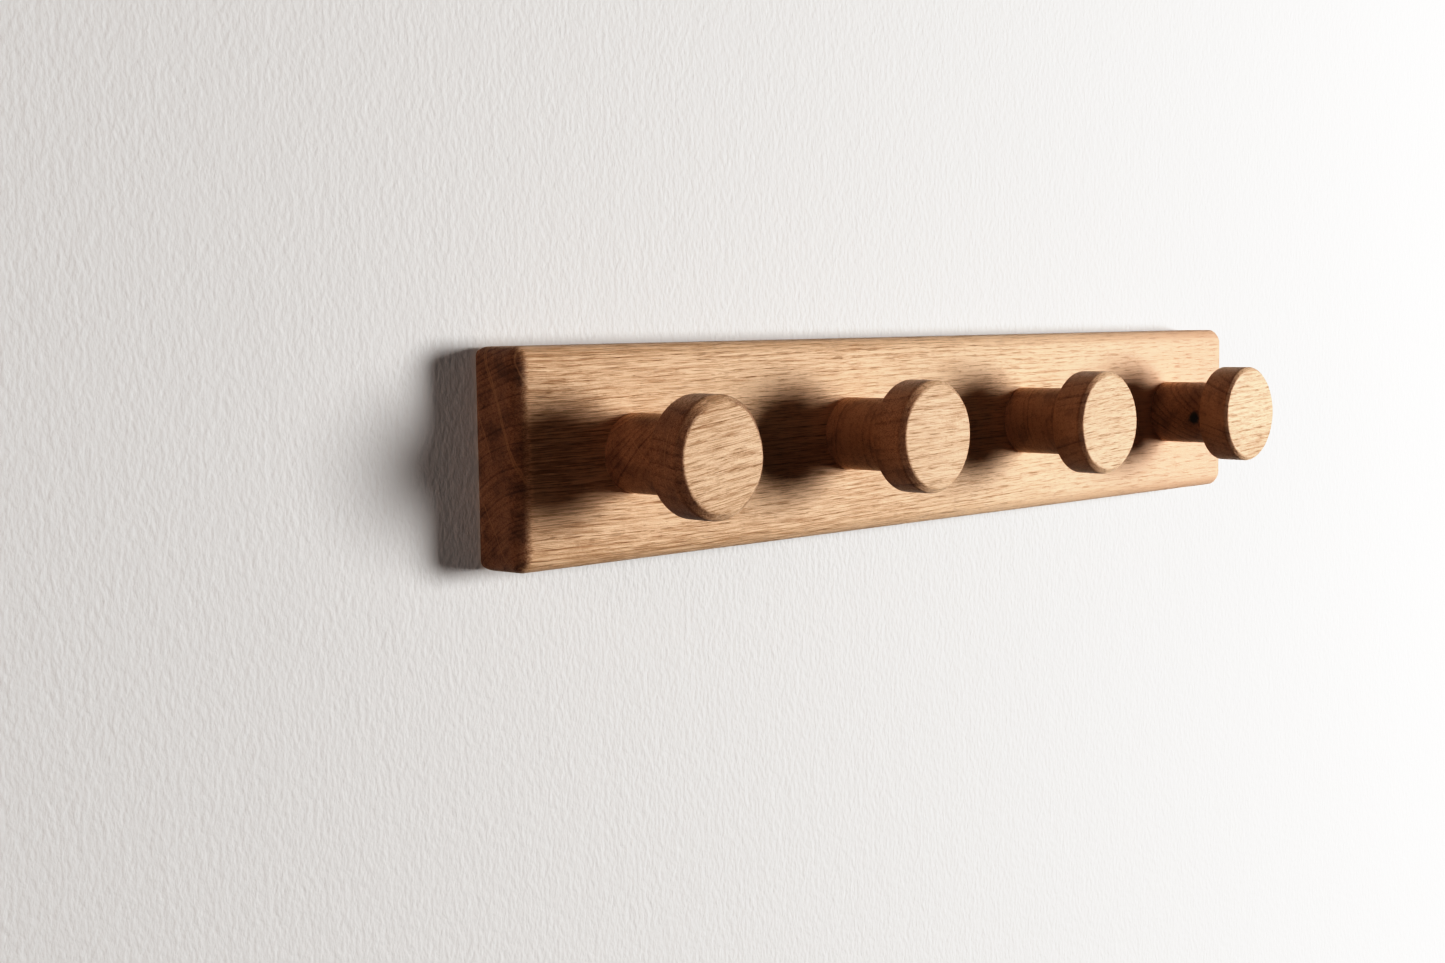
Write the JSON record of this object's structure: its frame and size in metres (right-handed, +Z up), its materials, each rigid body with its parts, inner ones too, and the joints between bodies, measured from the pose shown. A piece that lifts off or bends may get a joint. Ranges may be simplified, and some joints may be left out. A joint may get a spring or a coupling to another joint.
{
  "type": "wall hook rack",
  "caption": "Solid oak wall rack: a rounded board with a row of mushroom-shaped pegs for hanging clothes, bags or towels, hung on hidden keyhole plates.",
  "frame": {"origin": "centre of the board's back face, which lies against the wall", "axes": "+X along the board to the right as seen from the room, +Y into the wall, +Z up; the pegs point to -Y"},
  "size_m": [0.38, 0.058, 0.065],
  "materials": {
    "board_oak": "oiled, open-pored oak with fine straight grain",
    "stem_oak": "oiled turned oak, grain across the stem",
    "head_oak": "oiled turned oak, grain across the face",
    "dowel_beech": "plain turned beech",
    "screw_steel": "bright zinc plated",
    "plate_steel": "stamped steel, zinc plated, satin"
  },
  "bodies": {
    "root": {"board": "board_oak", "peg_stem_1": "stem_oak", "peg_stem_2": "stem_oak", "peg_stem_3": "stem_oak", "peg_stem_4": "stem_oak", "peg_head_1": "head_oak", "peg_head_2": "head_oak", "peg_head_3": "head_oak", "peg_head_4": "head_oak", "peg_dowel_1": "dowel_beech", "peg_dowel_2": "dowel_beech", "peg_dowel_3": "dowel_beech", "peg_dowel_4": "dowel_beech", "peg_screw_1": "screw_steel", "peg_screw_2": "screw_steel", "peg_screw_3": "screw_steel", "peg_screw_4": "screw_steel", "keyhole_plate_left": "plate_steel", "keyhole_plate_right": "plate_steel", "plate_screw_left_1": "screw_steel", "plate_screw_left_2": "screw_steel", "plate_screw_right_1": "screw_steel", "plate_screw_right_2": "screw_steel"}
  },
  "joints": []
}
